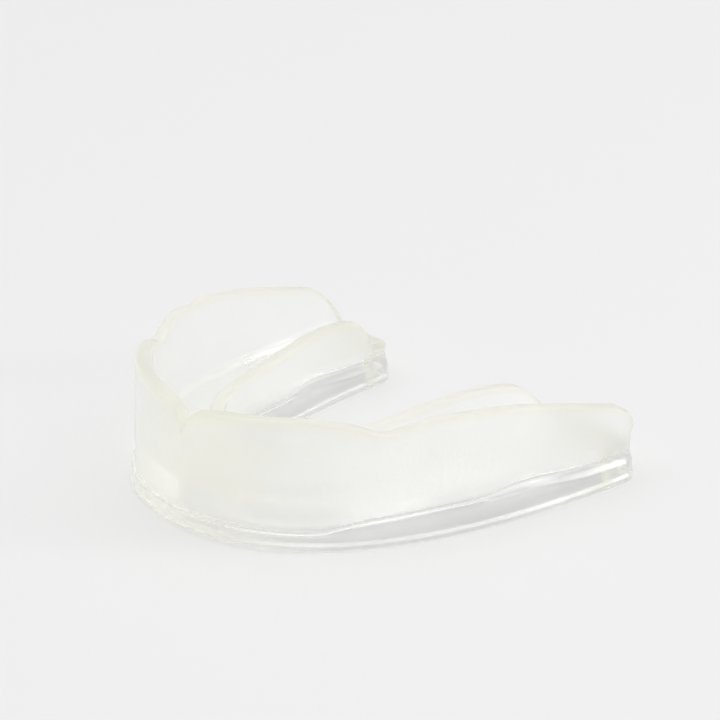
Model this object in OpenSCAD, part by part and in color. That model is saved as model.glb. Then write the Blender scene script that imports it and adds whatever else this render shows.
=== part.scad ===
// Boil-and-bite mouthguard: one clear, soft moulding in the shape of a dental arch.
//
// X runs across the bite, the front teeth face -Y, and Z rises from the flat biting face.
// The origin is on that face, in the middle of the arch's width and depth.
//
// One section runs across the arch. It has a tall outer wall on the lip and cheek side,
// a channel for the teeth over a thick bite pad, and a lower wall on the tongue side.
// The section is swept from one rear end round the front to the other, and its heights
// and widths change on the way. The guard is cast in one shot, so it is one piece.

/* [Arch in plan] */
// Width over the back teeth
arch_width = 63; // [57:0.5:69]
// Depth from the front face to the rear ends
arch_depth = 55; // [50:0.5:60]
// How far out from the middle the front stays square to the mouth
front_reach = 19; // [17:0.5:21]
// How far forward from the rear ends the arms stay straight
arm_reach = 39; // [36:0.5:42]
// Rounding of the two corners of each rear end
end_corner = 2.6; // [1.5:0.1:4]

/* [Bite pad] */
// Pad width behind the front teeth
pad_front = 11.6; // [11.2:0.1:13]
// Pad width at the first molars
pad_molar = 15.5; // [13.5:0.1:16.5]
// Pad width at the rear ends
pad_rear = 14.6; // [12.5:0.1:15.5]
// Pad thickness under the teeth
pad_thick = 5.4; // [4.6:0.1:6.5]
// Rounding of the pad's lower edge
pad_edge = 0.6; // [0.4:0.1:1.2]
// Height of the mould's parting edge at the front
parting_front = 2.3; // [1.6:0.1:2.5]
// Height of the parting edge at the molars
parting_molar = 4.2; // [2.7:0.1:4.4]
// Height of the parting edge at the rear ends
parting_rear = 2.6; // [1.8:0.1:3]
// How far the pad's foot stands out past the walls
foot = 0.65; // [0.5:0.05:1]

/* [Outer wall] */
// Height at the bottom of the lip notch, on the midline
notch_height = 13; // [11.5:0.1:15]
// Height at the two sides of the lip notch
lip_height = 16.3; // [15.3:0.1:17]
// Height over the front teeth
front_height = 17.6; // [17:0.1:19]
// Height at the dip beside the premolars
dip_height = 15.6; // [14:0.1:16.5]
// Height at the first molars
molar_height = 17; // [16:0.1:18]
// Height that the wall falls to at the rear ends, before its corner is rounded
heel_height = 10.7; // [10.4:0.1:12]
// Length of the rounded rear corner of the wall
heel_round = 5.5; // [3:0.5:7]
// Drop of the rounded rear corner of the wall
heel_drop = 5; // [2:0.1:5]
// How far the rim leans in at the front, past the foot of the wall
front_lean = 0.6; // [0:0.1:1]
// How far the rim leans out over the back teeth
cheek_lean = 0.5; // [0:0.1:0.6]
// Wall thickness at the front
outer_front_thick = 2.3; // [1.8:0.1:2.6]
// Wall thickness at the rear ends
outer_rear_thick = 1.6; // [1.4:0.1:2.2]

/* [Tongue-side wall] */
// Height behind the front teeth
tongue_front_height = 8.1; // [7.5:0.1:11]
// Height beside the molars
tongue_molar_height = 12.6; // [11.5:0.1:13.5]
// Wall thickness
tongue_thick = 1.8; // [1.4:0.1:2.2]
// How far the rim leans in over the tongue
tongue_lean = 1.4; // [0:0.1:1.6]
// Distance from the wall's rear end to the rear end of the pad
tongue_setback = 5; // [3.5:0.1:7]
// Length of the wall's rounded rear corner
tongue_round = 6.4; // [4:0.1:8]

/* [Hidden] */

half_width = arch_width / 2;

// How much thicker both walls get towards the pad, as a share of the wall's height
draft = 0.03;
// Rounding of the rims, and of the two lower corners of the tooth channel
rim_round = 0.5;
channel_round = 1.2;
// Height of the hollow curve that runs from the parting edge up to each wall
flare = min(2.2, pad_thick - parting_rear - 0.6);
// How far the rear ends lean in, above and below the top edge of the pad
end_lean = 0.1;

// Each profile is a list of [share of the way from the midline to a rear end, value]
outer_heights = [
    [0, notch_height], [0.02, lip_height - 0.7], [0.035, lip_height],
    [0.07, (lip_height + front_height) / 2 - 0.1], [0.13, front_height - 0.3],
    [0.26, front_height], [0.36, dip_height + 1.3], [0.4, dip_height + 0.45],
    [0.43, dip_height], [0.46, dip_height + 0.45], [0.53, molar_height],
    [0.62, molar_height - 0.25], [1, heel_height]
];
outer_leans = [[0, -front_lean], [0.25, -front_lean], [0.55, cheek_lean], [1, cheek_lean]];
outer_thicks = [[0, outer_front_thick], [0.3, outer_front_thick - 0.1],
                [0.6, outer_rear_thick], [1, outer_rear_thick]];
tongue_heights = [
    [0, tongue_front_height], [0.5, tongue_molar_height - 1.1],
    [0.75, tongue_molar_height], [1, tongue_molar_height - 2.8]
];
pad_widths = [[0, pad_front], [0.3, 0.8 * pad_front + 0.2 * pad_molar],
              [0.45, 0.35 * pad_front + 0.65 * pad_molar], [0.62, pad_molar], [1, pad_rear]];
parting_heights = [[0, parting_front], [0.28, parting_front + 0.1],
                   [0.4, parting_molar - 0.4], [0.55, parting_molar],
                   [0.72, parting_molar - 0.2], [0.86, (parting_molar + parting_rear) / 2 - 0.35],
                   [1, parting_rear]];

// ---- Smooth curve through a profile, with no overshoot ----

function secant(p, k) = (p[k + 1][1] - p[k][1]) / (p[k + 1][0] - p[k][0]);

function knot_slope(p, k) =
    k == 0 ? secant(p, 0)
    : k == len(p) - 1 ? secant(p, k - 1)
    : let (a = secant(p, k - 1), b = secant(p, k)) a * b <= 0 ? 0 : 2 * a * b / (a + b);

function along(p, x) =
    let (
        k = max([for (i = [0 : len(p) - 2]) if (i == 0 || x >= p[i][0]) i]),
        h = p[k + 1][0] - p[k][0],
        r = (x - p[k][0]) / h
    )
    (2 * r ^ 3 - 3 * r ^ 2 + 1) * p[k][1] + (r ^ 3 - 2 * r ^ 2 + r) * h * knot_slope(p, k)
    + (3 * r ^ 2 - 2 * r ^ 3) * p[k + 1][1] + (r ^ 3 - r ^ 2) * h * knot_slope(p, k + 1);

// ---- Arch: a Bezier curve for the right half, from the midline to the rear end ----

arch_steps = 160;

function arch_point(t) =
    3 * (1 - t) ^ 2 * t * [front_reach, 0]
    + 3 * (1 - t) * t ^ 2 * [half_width, arch_depth - arm_reach]
    + t ^ 3 * [half_width, arch_depth];

function arch_heading(t) =
    let (
        d = (1 - t) ^ 2 * [front_reach, 0]
            + 2 * (1 - t) * t * [half_width - front_reach, arch_depth - arm_reach]
            + t ^ 2 * [0, arm_reach]
    )
    d / norm(d);

// Table of [length along the arch, Bezier parameter]
arch_table = [
    for (i = 0, run = 0; i <= arch_steps;
         run = run + norm(arch_point((i + 1) / arch_steps) - arch_point(i / arch_steps)),
         i = i + 1)
    [run, i / arch_steps]
];
arch_length = arch_table[arch_steps][0];

// ---- Section across the arch at a distance s from the midline ----

// 0 to 1 over the last length r before the place e, as a rounded corner needs it
function into_end(s, e, r) = min(max((s - (e - r)) / r, 0), 1);

function rounded(q) = sqrt(max(1 - q * q, 0));

// Points of a quarter turn from angle a0 to a1, about [u, z]
function turn(u, z, ru, rz, a0, a1, steps) =
    [for (k = [0 : steps]) let (a = a0 + (a1 - a0) * k / steps) [u + ru * cos(a), z + rz * sin(a)]];

// Upper side of the section as [inward distance, height], from the outer foot to the inner
function upper_side(s) =
    let (
        a = s / arch_length,
        w = along(pad_widths, a),
        flare_top = along(parting_heights, a) + flare,
        thick = along(outer_thicks, a),
        top = along(outer_heights, a)
              - heel_drop * (1 - rounded(into_end(s, arch_length, heel_round))),
        tongue_fall = rounded(into_end(s, arch_length - tongue_setback, tongue_round)),
        tongue_rise = (along(tongue_heights, a) - pad_thick) * tongue_fall,
        tongue_top = pad_thick + tongue_rise,
        outer_out = foot - along(outer_leans, a),
        outer_in = outer_out + thick,
        outer_in_low = foot + thick + draft * (top - pad_thick),
        tongue_out = w - foot + tongue_lean * tongue_fall,
        tongue_in = tongue_out - tongue_thick,
        tongue_in_low = w - foot - tongue_thick - draft * tongue_rise,
        outer_round = min(channel_round, 0.4 * (top - pad_thick) + 0.02),
        outer_rim = min(rim_round, 0.4 * (top - pad_thick) + 0.02),
        low_round = min(channel_round, 0.4 * tongue_rise + 0.05),
        tongue_rim = min(rim_round, 0.4 * tongue_rise + 0.02)
    )
    concat(
        [[0, pad_edge]],
        turn(0, flare_top, foot, flare, -90, 0, 3),
        turn(outer_out + rim_round, top - outer_rim, rim_round, outer_rim, 180, 90, 2),
        turn(outer_in - rim_round, top - outer_rim, rim_round, outer_rim, 90, 0, 2),
        turn(outer_in_low + channel_round, pad_thick + outer_round,
             channel_round, outer_round, 180, 270, 2),
        turn(tongue_in_low - channel_round, pad_thick + low_round,
             channel_round, low_round, 270, 360, 2),
        turn(tongue_in + rim_round, tongue_top - tongue_rim, rim_round, tongue_rim, 180, 90, 2),
        turn(tongue_out - rim_round, tongue_top - tongue_rim, rim_round, tongue_rim, 90, 0, 2),
        turn(w, flare_top, foot, flare, 180, 270, 3),
        [[w, pad_edge]]
    );

// Lower side of the section: as many points, from the outer lower edge to the inner one
function lower_side(upper) =
    let (
        last = len(upper) - 1,
        w = upper[last][0],
        share = [
            for (j = [0 : last])
            min(max(upper[j][0], foot), w - foot) / w + j / last
        ],
        span = share[last - 1] - share[1],
        nick = pad_edge * (1 - cos(45))
    )
    [
        for (j = [0 : last])
        j == 0 ? [nick, nick]
        : j == last ? [w - nick, nick]
        : [pad_edge + (w - 2 * pad_edge) * (share[j] - share[1]) / span, 0]
    ];

// How far a rear end's face stands in at a height: a rounded lower edge, then a slight
// lean out to the top edge of the pad and in again above it
function end_inset(z) =
    pad_edge * (1 - rounded(max(1 - z / pad_edge, 0)))
    + end_lean * (z <= pad_thick ? 1 - z / pad_thick : min((z - pad_thick) / 0.4, 1));

// A section point in the part's frame; side is 1 for the right half and -1 for the left
function placed(side, s, q, w) =
    let (
        corner = end_corner * (1 - rounded(into_end(s, arch_length, end_corner))),
        u = corner + q[0] * (w - 2 * corner) / w,
        t = lookup(s - end_inset(q[1]) * into_end(s, arch_length, 5), arch_table),
        p = arch_point(t),
        h = arch_heading(t)
    )
    [side * (p[0] - u * h[1]), p[1] + u * h[0] - arch_depth / 2, q[1]];

// Ring of points round the section
function ring(side, s) =
    let (
        upper = upper_side(s),
        lower = lower_side(upper),
        last = len(upper) - 1,
        w = upper[last][0]
    )
    concat(
        [for (j = [0 : last]) placed(side, s, upper[j], w)],
        [for (j = [last : -1 : 0]) placed(side, s, lower[j], w)]
    );

// ---- Sweep: sections are closer at the lip notch, at the wall ends and at the end corners ----

notch_sections = [0.35, 0.8, 1.5];
arch_sections = 29;
wall_sections = 6;
corner_sections = 6;

tongue_end = arch_length - tongue_setback;

places = concat(
    [0],
    notch_sections,
    [
        for (k = [2 : arch_sections])
        let (t = k / arch_sections)
        (tongue_end - tongue_round) * (0.5 * t + 0.25 * (1 - cos(180 * t)))
    ],
    [for (k = [1 : wall_sections]) tongue_end - tongue_round * (1 - sin(90 * k / wall_sections))],
    [tongue_end + 0.3],
    [
        for (k = [0 : corner_sections])
        arch_length - end_corner * (1 - sin(90 * k / corner_sections))
    ]
);

// Shares of the height, from the lower side to the upper, for the rows that close each end
end_rows = [0.04, 0.13, 0.5];

// Points of one row across a rear end, between its first and last columns
function end_row(side, share) =
    let (
        upper = upper_side(arch_length),
        lower = lower_side(upper),
        last = len(upper) - 1
    )
    [
        for (j = [1 : last - 1])
        placed(side, arch_length, lower[j] + share * (upper[j] - lower[j]), upper[last][0])
    ];

module guard() {
    last = len(places) - 1;
    rings = concat(
        [for (k = [last : -1 : 1]) ring(-1, places[k])],
        [for (k = [0 : last]) ring(1, places[k])]
    );
    n = len(rings[0]);
    half = n / 2;
    first_end = len(rings) * n;
    last_ring = first_end - n;
    rows = len(end_rows);

    sides = [
        for (i = [0 : len(rings) - 2], j = [0 : n - 1])
        let (a = i * n + j, b = i * n + (j + 1) % n)
        each [[a, b, b + n], [a, b + n, a + n]]
    ];
    // Index of the point in column j of row r of an end, from its lower side (r = 0) to its
    // upper side (r = rows + 1). The first and last columns have no points between the sides.
    function end_index(ring_start, row_start, r, j) =
        r == 0 ? ring_start + n - 1 - j
        : r == rows + 1 || j == 0 || j == half - 1 ? ring_start + j
        : row_start + (r - 1) * (half - 2) + j - 1;
    ends = [
        for (e = [0, 1], r = [0 : rows], j = [0 : half - 2])
        let (
            ring_start = e * last_ring,
            row_start = first_end + e * rows * (half - 2),
            a = end_index(ring_start, row_start, r, j),
            b = end_index(ring_start, row_start, r, j + 1),
            c = end_index(ring_start, row_start, r + 1, j + 1),
            d = end_index(ring_start, row_start, r + 1, j)
        )
        for (f = e == 0 ? [[a, b, c], [a, c, d]] : [[a, c, b], [a, d, c]])
        if (f[0] != f[1] && f[1] != f[2] && f[2] != f[0]) f
    ];
    points = concat(
        [for (r = rings) each r],
        [for (side = [-1, 1], share = end_rows) each end_row(side, share)]
    );
    color([0.93, 0.94, 0.89])
        polyhedron(points, concat(sides, ends));
}

guard();
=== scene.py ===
"""Boil-and-bite mouthguard: one clear, soft EVA moulding on a plain pale surface.

The guard is a section swept along a dental arch. The section has a tall outer wall, a
channel for the teeth over a thick bite pad, and a lower wall on the tongue side.

Lengths inside the shape functions are millimetres; MM turns them into metres. A place along
the arch is s, its distance from the midline, or a, its share of the way to a rear end. A
section point q is (distance inward from the outer foot, height), and w is the pad's width.
"""
import math

import bpy
import numpy as np
from mathutils import Matrix, Vector

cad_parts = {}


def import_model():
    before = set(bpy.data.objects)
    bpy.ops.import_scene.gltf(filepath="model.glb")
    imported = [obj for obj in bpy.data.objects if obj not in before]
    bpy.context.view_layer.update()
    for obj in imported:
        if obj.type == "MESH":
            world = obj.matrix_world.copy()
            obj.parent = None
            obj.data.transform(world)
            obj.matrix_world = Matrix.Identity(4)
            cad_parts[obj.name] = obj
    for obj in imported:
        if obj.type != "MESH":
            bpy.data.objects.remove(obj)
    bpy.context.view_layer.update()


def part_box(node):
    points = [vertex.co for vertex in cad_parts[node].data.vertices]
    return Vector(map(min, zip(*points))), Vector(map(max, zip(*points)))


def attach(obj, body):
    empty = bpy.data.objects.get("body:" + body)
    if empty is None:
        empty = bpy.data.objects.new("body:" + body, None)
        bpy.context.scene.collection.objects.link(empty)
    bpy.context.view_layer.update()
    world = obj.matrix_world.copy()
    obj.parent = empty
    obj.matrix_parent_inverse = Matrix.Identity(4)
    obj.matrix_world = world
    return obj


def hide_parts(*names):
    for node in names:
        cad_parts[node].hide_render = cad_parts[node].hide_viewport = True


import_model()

# ---- Size, from the frame ----

LOW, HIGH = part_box("guard")
DEPTH = 55.0  # of the arch, front to rear
MM = (HIGH.y - LOW.y) / DEPTH  # one millimetre, in metres
HALF_WIDTH = 31.5  # of the arch, at the rear ends

# ---- Shape ----

FRONT_REACH = 19.0  # length of the plan curve's handle at the midline
ARM_REACH = 39.0  # and at a rear end
ARCH_STEPS = 600
HEADING_STEP = 0.15  # how far to each side of a place its heading is measured

PAD_THICK = 5.4
PAD_EDGE = 0.6  # rounding of the underside's edges
FOOT = 0.65  # how far in from the pad's edge a wall stands
FLARE = 2.2  # height of the slope from the parting edge up to a wall
DRAFT = 0.03  # how much a wall thickens for each millimetre down
RIM_ROUND = 0.5
CHANNEL_ROUND = 1.2
HEEL_ROUND, HEEL_DROP = 5.5, 5.0  # length and height of the outer wall's rounded heel
TONGUE_THICK = 1.8
TONGUE_LEAN = 1.4
TONGUE_SETBACK, TONGUE_ROUND = 5.0, 6.4  # its end's distance from the rear, and rounding

SKIRT = 0.95  # height of the low step round the pad's side
SKIRT_SLOPE = (0.04, 0.40, 0.45)  # heights of the step's slope above that
SKIRT_EASE = 0.02  # how far in the slope's softened ends reach
BAND_IN = 0.24  # how far the side stands in above the step
BAND_FRONT = 0.4  # share of that at the front
BAND_REACH = (0.10, 0.30)  # shares of the arch where it grows to the whole

CHAMFER = 1.3  # height of the flat part of the flare at the rear
CHAMFER_REACH = (0.60, 0.70)  # shares of the arch where the hollow flare turns flat
HOLLOW = 0.2  # how much further in the flat flare reaches
FLARE_STEPS = 14
EASE_FROM, EASE_TO = 0.6, 1.4  # where the flat flare bends upright, in CHAMFER heights

END_CORNER = 2.6  # radius of a rear end's corners, seen from above
END_LEAN = 0.1
END_LEAN_RISE = 0.4
END_SPREAD = 5.0  # length over which a rear end's shape fades out forward
END_ROWS = 12  # of points across a rear end
END_EASE, END_EASE_REACH = 0.75, 0.8536  # how the rows crowd towards the underside

RIM_STEPS = 5
CHANNEL_STEPS = 6
EDGE_STEPS = 4  # points round each edge of the underside
BETWEEN = [1, 4, 12, 3, 10, 8, 8, 3, 8, 4, 1]  # steps from each piece of a section to the next
MAIN_PLACES, ROUND_PLACES = 121, 15  # sections along the arch, and round a curve at its end
GAP_PLACES = (0.15, 0.6)  # sections just behind the tongue wall

# Profiles along the arch: (share of the way from the midline to a rear end, value).
OUTER_HEIGHTS = [
    (0, 13.0), (0.02, 15.6), (0.035, 16.3), (0.07, 16.85), (0.13, 17.3), (0.26, 17.6),
    (0.36, 16.9), (0.4, 16.05), (0.43, 15.6), (0.46, 16.05), (0.53, 17.0), (0.62, 16.75),
    (1, 10.7),
]
OUTER_LEANS = [(0, -0.6), (0.25, -0.6), (0.55, 0.5), (1, 0.5)]
OUTER_THICKS = [(0, 2.3), (0.3, 2.2), (0.6, 1.6), (1, 1.6)]
TONGUE_HEIGHTS = [(0, 8.1), (0.5, 11.5), (0.75, 12.6), (1, 9.8)]
PAD_WIDTHS = [(0, 11.6), (0.3, 12.38), (0.45, 14.135), (0.62, 15.5), (1, 14.6)]
PARTING_HEIGHTS = [
    (0, 2.3), (0.28, 2.4), (0.4, 3.8), (0.55, 4.2), (0.72, 4.0), (0.86, 3.05), (1, 2.6),
]

# ---- Finish: satin is 0 where the mould was polished and 1 where it was grained ----

SATIN_LOW = 0.9  # at the foot of a wall
SATIN_RISE = 5.0  # height over which it grows to 1
SATIN_FADE = 0.7  # height over which polish turns to satin
POLISH_FRONT = 0.1  # how far above the parting edge the polish reaches at the front
POLISH_REACH = (0.62, 0.74)  # shares of the arch where that grows to the chamfer's height
FRONT_SATIN = 0.5  # least satin at the front
FRONT_FADE = (0.12, 0.32)  # shares of the arch where it fades out
BITE_SATIN = 0.35  # least satin between the walls
BITE_MARGIN = 0.6
END_SATIN = 0.5  # least satin on a rear end
END_FADE = (END_CORNER + 0.5, 1.0)  # distances from the rear where that sets in
UNDER_SATIN = 0.2
UNDER_MARGIN, UNDER_FADE = 0.6, 0.8  # polished border of the underside, and its fade

TINT_WALL = 0.04  # share of the warm tint everywhere
TINT_FRONT = 0.26  # more at the front
TINT_FRONT_FADE = (0.03, 0.22)
TINT_RIM = 0.75  # and more at the rims
TINT_RIM_FADE = (1.6, 0.2)  # distances below a rim where it sets in
NO_RIM = 99.0  # a rim height that is out of reach, for the underside

# ---- Material ----

BASE = (1.0, 1.0, 1.0)
TINT = (0.962, 0.958, 0.845)
TRANSMISSION = 1.0
IOR = 1.49
ROUGH_LOW, ROUGH_HIGH = 0.15, 0.38  # polished and satin
ABS_COLOR = (0.93, 0.95, 0.72)
ABS_DENSITY = 3.5
GRAIN_SCALE, GRAIN_DETAIL, GRAIN_ROUGHNESS = 900.0, 4.0, 0.6
GRAIN_STRENGTH = 0.5
GRAIN_DEPTH = 0.0001
CLOUD_SCALE, CLOUD_DETAIL, CLOUD_ROUGHNESS = 160.0, 3.0, 0.5
CLOUD_LOW = 0.75  # share of the satin left where the clouds are thinnest
CLOUD_REACH = (0.3, 0.7)

# ---- Studio and camera ----

FLOOR = 0.90
FLOOR_ROUGHNESS = 0.6
FLOOR_HALF = 3.0  # metres
FLOOR_GAP = 0.02  # under the guard
RISE = ((0.0, 0.76), (0.12, 0.74), (0.30, 0.61), (0.50, 0.61), (0.72, 1.185), (1.0, 1.185))
DARK_SIDE = (0.74, -0.67, 0.0)
DARK_REACH = (0.3, 0.95)  # cosines of the angle to the dark side where it sets in
DARK = 0.5
WINDOW_HEIGHT = 18.0  # degrees above the horizon
WINDOW_TALL = 0.26  # metres
WINDOW_AIM = (0, 0, 0.01)
WINDOWS = ((5.0, 32.0, 9.0), (10.5, 43.8, 7.0))  # radiance, bearing and width in degrees
BOUNCES = 48  # light has to leave the clear solid again

VIEW_AZIMUTH, VIEW_ELEVATION, VIEW_ROLL = 47.86, 22.04, -0.77  # degrees
VIEW_DISTANCE = 450
VIEW_TARGET = (-14.77, 46.07 - DEPTH / 2, 6.2)
FOCAL = 158.2
SENSOR = 36
CLIP_START = 0.01  # metres


# ---- Arch in plan: a Bezier curve for the right half ----

_t = np.linspace(0, 1, ARCH_STEPS + 1)[:, None]
_HANDLES = np.array([
    [0, 0], [FRONT_REACH, 0], [HALF_WIDTH, DEPTH - ARM_REACH], [HALF_WIDTH, DEPTH]
])
ARCH_POINTS = (
    (1 - _t) ** 3 * _HANDLES[0]
    + 3 * (1 - _t) ** 2 * _t * _HANDLES[1]
    + 3 * (1 - _t) * _t**2 * _HANDLES[2]
    + _t**3 * _HANDLES[3]
)
ARCH_RUN = np.concatenate(
    [[0], np.cumsum(np.linalg.norm(np.diff(ARCH_POINTS, axis=0), axis=1))]
)
ARCH_LENGTH = ARCH_RUN[-1]


def arch_point(s):
    return np.array([np.interp(s, ARCH_RUN, ARCH_POINTS[:, k]) for k in (0, 1)])


def arch_at(s):
    """Point on the outer foot of the arch, and the direction of travel, at a distance s."""
    heading = arch_point(s + HEADING_STEP) - arch_point(s - HEADING_STEP)
    if s < HEADING_STEP:
        share = s / HEADING_STEP
        heading = np.array([1.0, 0.0]) * (1 - share) + heading * share
    return arch_point(s), heading / np.linalg.norm(heading)


# ---- Section ----


def along(profile, x):
    """Value at x of a smooth curve through a profile, with no overshoot."""
    px, py = np.array(profile, float).T
    sec = np.diff(py) / np.diff(px)
    slope = np.concatenate([[sec[0]], np.zeros(len(px) - 2), [sec[-1]]])
    for k in range(1, len(px) - 1):
        if sec[k - 1] * sec[k] > 0:
            slope[k] = 2 * sec[k - 1] * sec[k] / (sec[k - 1] + sec[k])
    k = int(np.clip(np.searchsorted(px, x, side="right") - 1, 0, len(px) - 2))
    h = px[k + 1] - px[k]
    r = (x - px[k]) / h
    return (
        (2 * r**3 - 3 * r**2 + 1) * py[k]
        + (r**3 - 2 * r**2 + r) * h * slope[k]
        + (3 * r**2 - 2 * r**3) * py[k + 1]
        + (r**3 - r**2) * h * slope[k + 1]
    )


def clamped(x):
    return min(max(x, 0.0), 1.0)


def smooth(x, low, high):
    """0 below low, 1 above high, with a soft change between."""
    r = clamped((x - low) / (high - low))
    return r * r * (3 - 2 * r)


def into_end(s, end, length):
    """0 to 1 over the last stretch of the given length before the place end."""
    return clamped((s - (end - length)) / length)


def rounded(q):
    """Height of a quarter circle, from 1 at q = 0 to 0 at q = 1."""
    return math.sqrt(max(1 - q * q, 0.0))


def turn(u, z, ru, rz, a0, a1, steps):
    """Points of a part of an ellipse about (u, z), from angle a0 to a1 in degrees."""
    angles = np.radians(np.linspace(a0, a1, steps + 1))
    return [(u + ru * math.cos(a), z + rz * math.sin(a)) for a in angles]


def line(a, b, steps):
    """Points strictly between a and b."""
    return [
        (a[0] + (b[0] - a[0]) * k / steps, a[1] + (b[1] - a[1]) * k / steps)
        for k in range(1, steps)
    ]


def fitted(radius, height, spare=0.02):
    """Height of a rounding: its radius, or less where the wall is too low for it."""
    return min(radius, 0.4 * height + spare)


def rim(outer, inner, top, round_height):
    """The two roundings at the top of a wall."""
    low = top - round_height
    return [
        turn(outer + RIM_ROUND, low, RIM_ROUND, round_height, 180, 90, RIM_STEPS),
        turn(inner - RIM_ROUND, low, RIM_ROUND, round_height, 90, 0, RIM_STEPS),
    ]


def channel_corner(u, round_height, a0, a1):
    """A rounding at the foot of the channel."""
    return turn(
        u, PAD_THICK + round_height, CHANNEL_ROUND, round_height, a0, a1, CHANNEL_STEPS
    )


def skirt(band_in):
    """The low step on the pad's side."""
    low, high, top = SKIRT_SLOPE
    return [
        (0, SKIRT),
        (SKIRT_EASE, SKIRT + low),
        (band_in - SKIRT_EASE, SKIRT + high),
        (band_in, SKIRT + top),
    ]


def flare(part, start, end, chamfer):
    """The slope up from the parting edge: a hollow curve, or flat where chamfer is 1."""
    points = []
    for k in range(FLARE_STEPS + 1):
        a = math.radians(90 * k / FLARE_STEPS)
        u, rise = end - (end - start) * (1 - math.sin(a)), FLARE * (1 - math.cos(a))
        flat_rise = FLARE * k / FLARE_STEPS
        x = min(flat_rise / CHAMFER, EASE_TO)
        eased = x - max(x - EASE_FROM, 0) ** 2 / (2 * (EASE_TO - EASE_FROM))
        points.append((
            u + chamfer * (start + (end - start) * eased - u),
            part + rise + chamfer * (flat_rise - rise),
        ))
    return points


def upper_side(s):
    """The section's upper side, from the outer foot inward."""
    a = s / ARCH_LENGTH
    w = along(PAD_WIDTHS, a)
    heel = 1 - rounded(into_end(s, ARCH_LENGTH, HEEL_ROUND))
    top = along(OUTER_HEIGHTS, a) - HEEL_DROP * heel
    height = top - PAD_THICK
    thick, lean = along(OUTER_THICKS, a), along(OUTER_LEANS, a)
    fall = rounded(into_end(s, ARCH_LENGTH - TONGUE_SETBACK, TONGUE_ROUND))
    rise = (along(TONGUE_HEIGHTS, a) - PAD_THICK) * fall
    tongue_out = w - FOOT - TONGUE_THICK
    tongue_in = tongue_out + TONGUE_LEAN * fall
    outer_round, low_round = fitted(CHANNEL_ROUND, height), fitted(CHANNEL_ROUND, rise, 0.05)
    outer_low = FOOT + thick + DRAFT * height + CHANNEL_ROUND
    tongue_low = tongue_out - DRAFT * rise - CHANNEL_ROUND
    band_in = BAND_IN * (BAND_FRONT + (1 - BAND_FRONT) * smooth(a, *BAND_REACH))
    chamfer = smooth(a, *CHAMFER_REACH)
    edge = [
        [(0, PAD_EDGE)],
        skirt(band_in),
        flare(along(PARTING_HEIGHTS, a), band_in, FOOT + HOLLOW * chamfer, chamfer),
    ]
    pieces = [
        *edge,
        *rim(FOOT - lean, FOOT + thick - lean, top, fitted(RIM_ROUND, height)),
        channel_corner(outer_low, outer_round, 180, 270),
        channel_corner(tongue_low, low_round, 270, 360),
        *rim(tongue_in, tongue_in + TONGUE_THICK, PAD_THICK + rise, fitted(RIM_ROUND, rise)),
        *[[(w - u, z) for u, z in reversed(piece)] for piece in reversed(edge)],
    ]
    points = list(pieces[0])
    for steps, piece in zip(BETWEEN, pieces[1:]):
        points += line(points[-1], piece[0], steps) + piece
    return np.array(points)


def lower_side(upper):
    """The section's lower side: as many points, from the outer lower edge to the inner one."""
    last = len(upper) - 1
    w = upper[last, 0]
    out = np.zeros_like(upper)
    for j in range(EDGE_STEPS):
        a = math.radians(90 * (j + 1) / (EDGE_STEPS + 1))
        u, z = PAD_EDGE * (1 - math.cos(a)), PAD_EDGE * (1 - math.sin(a))
        out[j] = u, z
        out[last - j] = w - u, z
    share = np.clip(upper[:, 0], FOOT, w - FOOT) / w + np.arange(last + 1) / last
    middle = slice(EDGE_STEPS, last + 1 - EDGE_STEPS)
    share = (share[middle] - share[EDGE_STEPS]) / (share[last - EDGE_STEPS] - share[EDGE_STEPS])
    out[middle, 0] = PAD_EDGE + (w - 2 * PAD_EDGE) * share
    return out


def satin_at(s, q, w):
    """Finish of the section's upper side."""
    a = s / ARCH_LENGTH
    part = along(PARTING_HEIGHTS, a)
    polish = POLISH_FRONT + (CHAMFER - POLISH_FRONT) * smooth(a, *POLISH_REACH)
    wall = smooth(q[1], part + polish, part + polish + SATIN_FADE)
    wall *= SATIN_LOW + (1 - SATIN_LOW) * smooth(q[1], part, part + SATIN_RISE)
    bite = BITE_SATIN if min(q[0], w - q[0]) > FOOT + BITE_MARGIN else 0.0
    end = END_SATIN * smooth(s, ARCH_LENGTH - END_FADE[0], ARCH_LENGTH - END_FADE[1])
    front = FRONT_SATIN * (1 - smooth(a, *FRONT_FADE))
    return max(wall, bite, end, front)


def under_satin(q, w):
    """Finish of the underside: satin between its polished edges."""
    return UNDER_SATIN * clamped((min(q[0], w - q[0]) - UNDER_MARGIN) / UNDER_FADE)


def end_satin(q):
    """Finish of a rear end's face."""
    return END_SATIN + (1 - END_SATIN) * smooth(q[1], PAD_THICK - 1, PAD_THICK + 1)


def tint_at(s, q, top):
    """How much of the warm tint shows: most at the rims and round the front."""
    front = 1 - smooth(s / ARCH_LENGTH, *TINT_FRONT_FADE)
    edge = smooth(q[1], top - TINT_RIM_FADE[0], top - TINT_RIM_FADE[1])
    return min(TINT_WALL + front * TINT_FRONT + edge * TINT_RIM, 1.0)


# ---- Mesh ----


def end_inset(z):
    """How far a rear end's face stands in at a height."""
    if z <= PAD_THICK:
        lean = 1 - z / PAD_THICK
    else:
        lean = min((z - PAD_THICK) / END_LEAN_RISE, 1)
    return PAD_EDGE * (1 - rounded(max(1 - z / PAD_EDGE, 0))) + END_LEAN * lean


def placed(side, s, q, w):
    """A section point in the part's frame, in metres. side is 1 for +X and -1 for -X."""
    corner = END_CORNER * (1 - rounded(into_end(s, ARCH_LENGTH, END_CORNER)))
    u = corner + q[0] * (w - 2 * corner) / w
    point, heading = arch_at(s - end_inset(q[1]) * into_end(s, ARCH_LENGTH, END_SPREAD))
    x = side * (point[0] - u * heading[1])
    y = point[1] + u * heading[0] - DEPTH / 2
    return (x * MM, y * MM, q[1] * MM)


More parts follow.
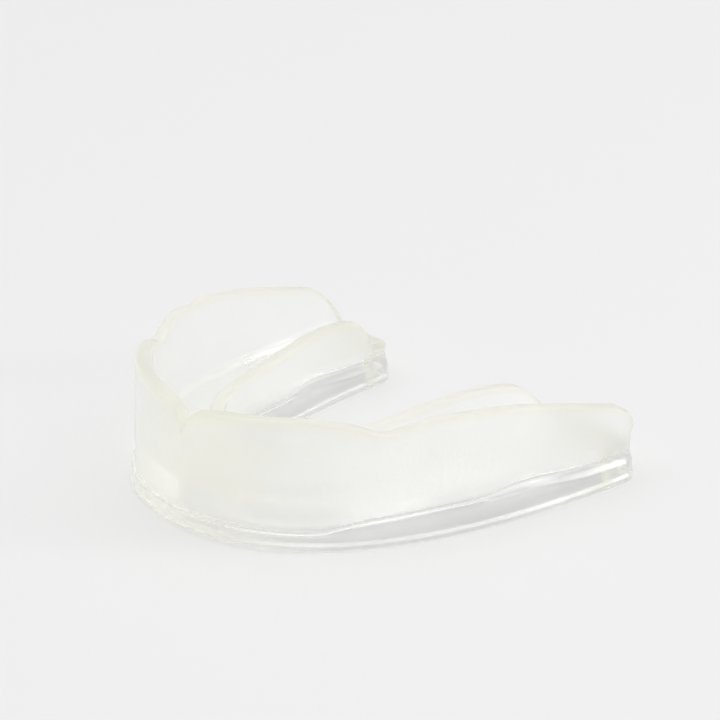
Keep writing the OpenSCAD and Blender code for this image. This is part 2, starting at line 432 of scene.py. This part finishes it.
def sweep_places():
    """Distances along the arch of the sections, closer together towards its end."""
    tongue_end = ARCH_LENGTH - TONGUE_SETBACK
    t = np.linspace(0, 1, MAIN_PLACES)
    main = (tongue_end - TONGUE_ROUND) * (0.5 * t + 0.25 * (1 - np.cos(math.pi * t)))
    q = np.radians(np.linspace(0, 90, ROUND_PLACES))[1:]
    wall = tongue_end - TONGUE_ROUND * (1 - np.sin(q))
    gap = [tongue_end + distance for distance in GAP_PLACES]
    corner = ARCH_LENGTH - END_CORNER * (1 - np.sin(np.concatenate([[0], q])))
    return np.concatenate([main, wall, gap, corner])


def ring_at(side, s):
    """Points, satin and tint of a whole section: its upper side, then its lower side back."""
    upper = upper_side(s)
    lower = lower_side(upper)[::-1]
    w = upper[-1, 0]
    outer, inner = np.split(upper, [len(upper) // 2])
    points = [placed(side, s, q, w) for q in (*upper, *lower)]
    satin = [satin_at(s, q, w) for q in upper] + [under_satin(q, w) for q in lower]
    tint = [tint_at(s, q, outer[:, 1].max()) for q in outer]
    tint += [tint_at(s, q, inner[:, 1].max()) for q in inner]
    tint += [tint_at(s, q, NO_RIM) for q in lower]
    return points, satin, tint


def end_rows(side):
    """Points, satin and tint of the rows across a rear end, from the underside up."""
    upper = upper_side(ARCH_LENGTH)
    lower = lower_side(upper)
    turns = np.linspace(0, math.pi, END_ROWS + 2)[1:-1] * END_EASE
    rows = [
        lower[j] + share * (upper[j] - lower[j])
        for share in (0.5 - 0.5 * np.cos(turns)) / END_EASE_REACH
        for j in range(1, len(upper) - 1)
    ]
    points = [placed(side, ARCH_LENGTH, q, upper[-1, 0]) for q in rows]
    return points, [end_satin(q) for q in rows], [TINT_WALL] * len(rows)


def end_faces(ring, row, half, flip):
    """Faces of a rear end. ring and row are its first points; half is a side's count."""

    def index(r, j):
        if r == 0:
            return ring + 2 * half - 1 - j
        if r == END_ROWS + 1 or j in (0, half - 1):
            return ring + j
        return row + (r - 1) * (half - 2) + j - 1

    faces = []
    for r in range(END_ROWS + 1):
        for j in range(half - 1):
            quad = [index(r, j), index(r, j + 1), index(r + 1, j + 1), index(r + 1, j)]
            quad = tuple(dict.fromkeys(quad[::-1] if flip else quad))
            if len(quad) > 2:
                faces.append(quad)
    return faces


def guard_mesh():
    places = sweep_places()
    order = [(-1, s) for s in places[:0:-1]] + [(1, s) for s in places]
    parts = [ring_at(side, s) for side, s in order] + [end_rows(side) for side in (-1, 1)]
    points, satin, tint = (sum(values, []) for values in zip(*parts))
    n = len(parts[0][0])
    half = n // 2
    faces = []
    for i in range(len(order) - 1):
        for j in range(n):
            a, b = i * n + j, i * n + (j + 1) % n
            faces.append((a, a + n, b + n, b))
    first_end, last_ring = len(order) * n, (len(order) - 1) * n
    faces += end_faces(0, first_end, half, flip=True)
    faces += end_faces(last_ring, first_end + END_ROWS * (half - 2), half, flip=False)

    mesh = bpy.data.meshes.new("mouthguard")
    mesh.from_pydata(points, [], faces)
    mesh.attributes.new("satin", "FLOAT", "POINT").data.foreach_set("value", satin)
    mesh.attributes.new("tint", "FLOAT", "POINT").data.foreach_set("value", tint)
    mesh.validate()
    mesh.update()
    mesh.shade_smooth()
    mesh.set_sharp_from_angle(angle=math.radians(50))
    return mesh


# ---- Materials ----


def attribute(nt, name):
    node = nt.nodes.new("ShaderNodeAttribute")
    node.attribute_name = name
    return node.outputs["Fac"]


def noise(nt, place, scale, detail, roughness):
    node = nt.nodes.new("ShaderNodeTexNoise")
    node.inputs["Scale"].default_value = scale
    node.inputs["Detail"].default_value = detail
    node.inputs["Roughness"].default_value = roughness
    nt.links.new(place, node.inputs["Vector"])
    return node.outputs["Fac"]


def product(nt, a, b):
    node = nt.nodes.new("ShaderNodeMath")
    node.operation = "MULTIPLY"
    nt.links.new(a, node.inputs[0])
    nt.links.new(b, node.inputs[1])
    return node.outputs[0]


def ranged(nt, source, reach, values, kind="LINEAR"):
    """A value that goes from the first of values to the second as the source crosses reach."""
    node = nt.nodes.new("ShaderNodeMapRange")
    node.interpolation_type = kind
    node.inputs["From Min"].default_value, node.inputs["From Max"].default_value = reach
    node.inputs["To Min"].default_value, node.inputs["To Max"].default_value = values
    nt.links.new(source, node.inputs["Value"])
    return node.outputs["Result"]


def clear_eva():
    """Clear EVA: polished bite pad and satin walls, with a faint warm tint in its depth."""
    mat = bpy.data.materials.new("clear_eva")
    mat.use_nodes = True
    nt = mat.node_tree
    nodes, links = nt.nodes, nt.links
    shader = nodes["Principled BSDF"]
    shader.inputs["Transmission Weight"].default_value = TRANSMISSION
    shader.inputs["IOR"].default_value = IOR

    colour = nodes.new("ShaderNodeMix")
    colour.data_type = "RGBA"
    colour.inputs["A"].default_value = (*BASE, 1)
    colour.inputs["B"].default_value = (*TINT, 1)
    links.new(attribute(nt, "tint"), colour.inputs["Factor"])
    links.new(colour.outputs["Result"], shader.inputs["Base Color"])

    finish = attribute(nt, "satin")
    place = nodes.new("ShaderNodeTexCoord").outputs["Object"]
    cloud = noise(nt, place, CLOUD_SCALE, CLOUD_DETAIL, CLOUD_ROUGHNESS)
    clouded = product(nt, finish, ranged(nt, cloud, CLOUD_REACH, (CLOUD_LOW, 1.0)))
    roughness = ranged(nt, clouded, (0.0, 1.0), (ROUGH_LOW, ROUGH_HIGH))
    links.new(roughness, shader.inputs["Roughness"])

    grain = noise(nt, place, GRAIN_SCALE, GRAIN_DETAIL, GRAIN_ROUGHNESS)
    bump = nodes.new("ShaderNodeBump")
    bump.inputs["Strength"].default_value = GRAIN_STRENGTH
    bump.inputs["Distance"].default_value = GRAIN_DEPTH
    links.new(product(nt, grain, finish), bump.inputs["Height"])
    links.new(bump.outputs["Normal"], shader.inputs["Normal"])

    absorb = nodes.new("ShaderNodeVolumeAbsorption")
    absorb.inputs["Color"].default_value = (*ABS_COLOR, 1)
    absorb.inputs["Density"].default_value = ABS_DENSITY
    links.new(absorb.outputs[0], nodes["Material Output"].inputs["Volume"])
    return mat


guard = bpy.data.objects.new("mouthguard", guard_mesh())
bpy.context.scene.collection.objects.link(guard)
guard.data.materials.append(clear_eva())
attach(guard, "root")
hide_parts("guard")

# ---- Floor, light and camera ----


def floor():
    mat = bpy.data.materials.new("floor")
    mat.use_nodes = True
    shader = mat.node_tree.nodes["Principled BSDF"]
    shader.inputs["Base Color"].default_value = (FLOOR, FLOOR, FLOOR, 1)
    shader.inputs["Roughness"].default_value = FLOOR_ROUGHNESS
    mesh = bpy.data.meshes.new("floor")
    r = FLOOR_HALF
    mesh.from_pydata([(-r, -r, 0), (r, -r, 0), (r, r, 0), (-r, r, 0)], [], [(0, 1, 2, 3)])
    mesh.materials.append(mat)
    obj = bpy.data.objects.new("floor", mesh)
    obj.location.z = LOW.z - FLOOR_GAP * MM
    bpy.context.scene.collection.objects.link(obj)


def world():
    """A pale studio: brighter overhead than lower down, and darker on one side."""
    w = bpy.data.worlds.new("studio")
    bpy.context.scene.world = w
    w.use_nodes = True
    nt = w.node_tree
    direction = nt.nodes.new("ShaderNodeTexCoord").outputs["Generated"]
    height = nt.nodes.new("ShaderNodeSeparateXYZ")
    nt.links.new(direction, height.inputs["Vector"])
    rise = nt.nodes.new("ShaderNodeValToRGB")
    stops = rise.color_ramp.elements
    stops[0].position, stops[1].position = RISE[0][0], RISE[-1][0]
    for position, _ in RISE[1:-1]:
        stops.new(position)
    for stop, (_, value) in zip(stops, RISE):
        stop.color = (value, value, value, 1)
    nt.links.new(height.outputs["Z"], rise.inputs["Fac"])

    side = nt.nodes.new("ShaderNodeVectorMath")
    side.operation = "DOT_PRODUCT"
    side.inputs[1].default_value = DARK_SIDE
    nt.links.new(direction, side.inputs[0])
    shade = ranged(nt, side.outputs["Value"], DARK_REACH, (1.0, DARK), "SMOOTHSTEP")

    back = nt.nodes["Background"]
    back.inputs["Color"].default_value = (1, 1, 1, 1)
    nt.links.new(product(nt, rise.outputs["Color"], shade), back.inputs["Strength"])


def area_light(name, place, aim, size, radiance):
    data = bpy.data.lights.new(name, "AREA")
    data.shape = "RECTANGLE"
    data.size, data.size_y = size
    data.energy = radiance * math.pi * size[0] * size[1]
    obj = bpy.data.objects.new(name, data)
    obj.location = place
    obj.rotation_mode = "QUATERNION"
    obj.rotation_quaternion = (Vector(aim) - Vector(place)).to_track_quat("-Z", "Y")
    bpy.context.scene.collection.objects.link(obj)


def lights():
    """Two tall windows a metre off, whose images are the highlights on the near flare."""
    raised = math.radians(WINDOW_HEIGHT)
    for number, (radiance, bearing, width) in enumerate(WINDOWS):
        turned = math.radians(bearing)
        place = (
            math.cos(turned) * math.cos(raised),
            math.sin(turned) * math.cos(raised),
            math.sin(raised),
        )
        size = (math.radians(width), WINDOW_TALL)
        area_light(f"window_{number}", place, WINDOW_AIM, size, radiance)


def camera():
    """The camera at the photograph's viewing angle."""
    azimuth, elevation = math.radians(VIEW_AZIMUTH), math.radians(VIEW_ELEVATION)
    back = Vector((
        math.sin(azimuth) * math.cos(elevation),
        -math.cos(azimuth) * math.cos(elevation),
        math.sin(elevation),
    ))
    right = (-back).cross(Vector((0, 0, 1))).normalized()
    up = right.cross(-back)
    c, s = math.cos(math.radians(VIEW_ROLL)), math.sin(math.radians(VIEW_ROLL))
    right, up = c * right + s * up, -s * right + c * up
    data = bpy.data.cameras.new("camera")
    data.lens = FOCAL
    data.sensor_width = SENSOR
    data.clip_start = CLIP_START
    obj = bpy.data.objects.new("camera", data)
    place = Vector(VIEW_TARGET) * MM + back * (VIEW_DISTANCE * MM)
    turned = Matrix((right, up, back)).transposed().to_4x4()
    obj.matrix_world = Matrix.Translation(place) @ turned
    bpy.context.scene.collection.objects.link(obj)
    bpy.context.scene.camera = obj


floor()
world()
lights()
camera()
scene = bpy.context.scene
scene.view_settings.view_transform = "Standard"
scene.cycles.blur_glossy = 0.0
scene.cycles.max_bounces = BOUNCES
scene.cycles.diffuse_bounces = BOUNCES
scene.cycles.glossy_bounces = BOUNCES
scene.cycles.transmission_bounces = BOUNCES
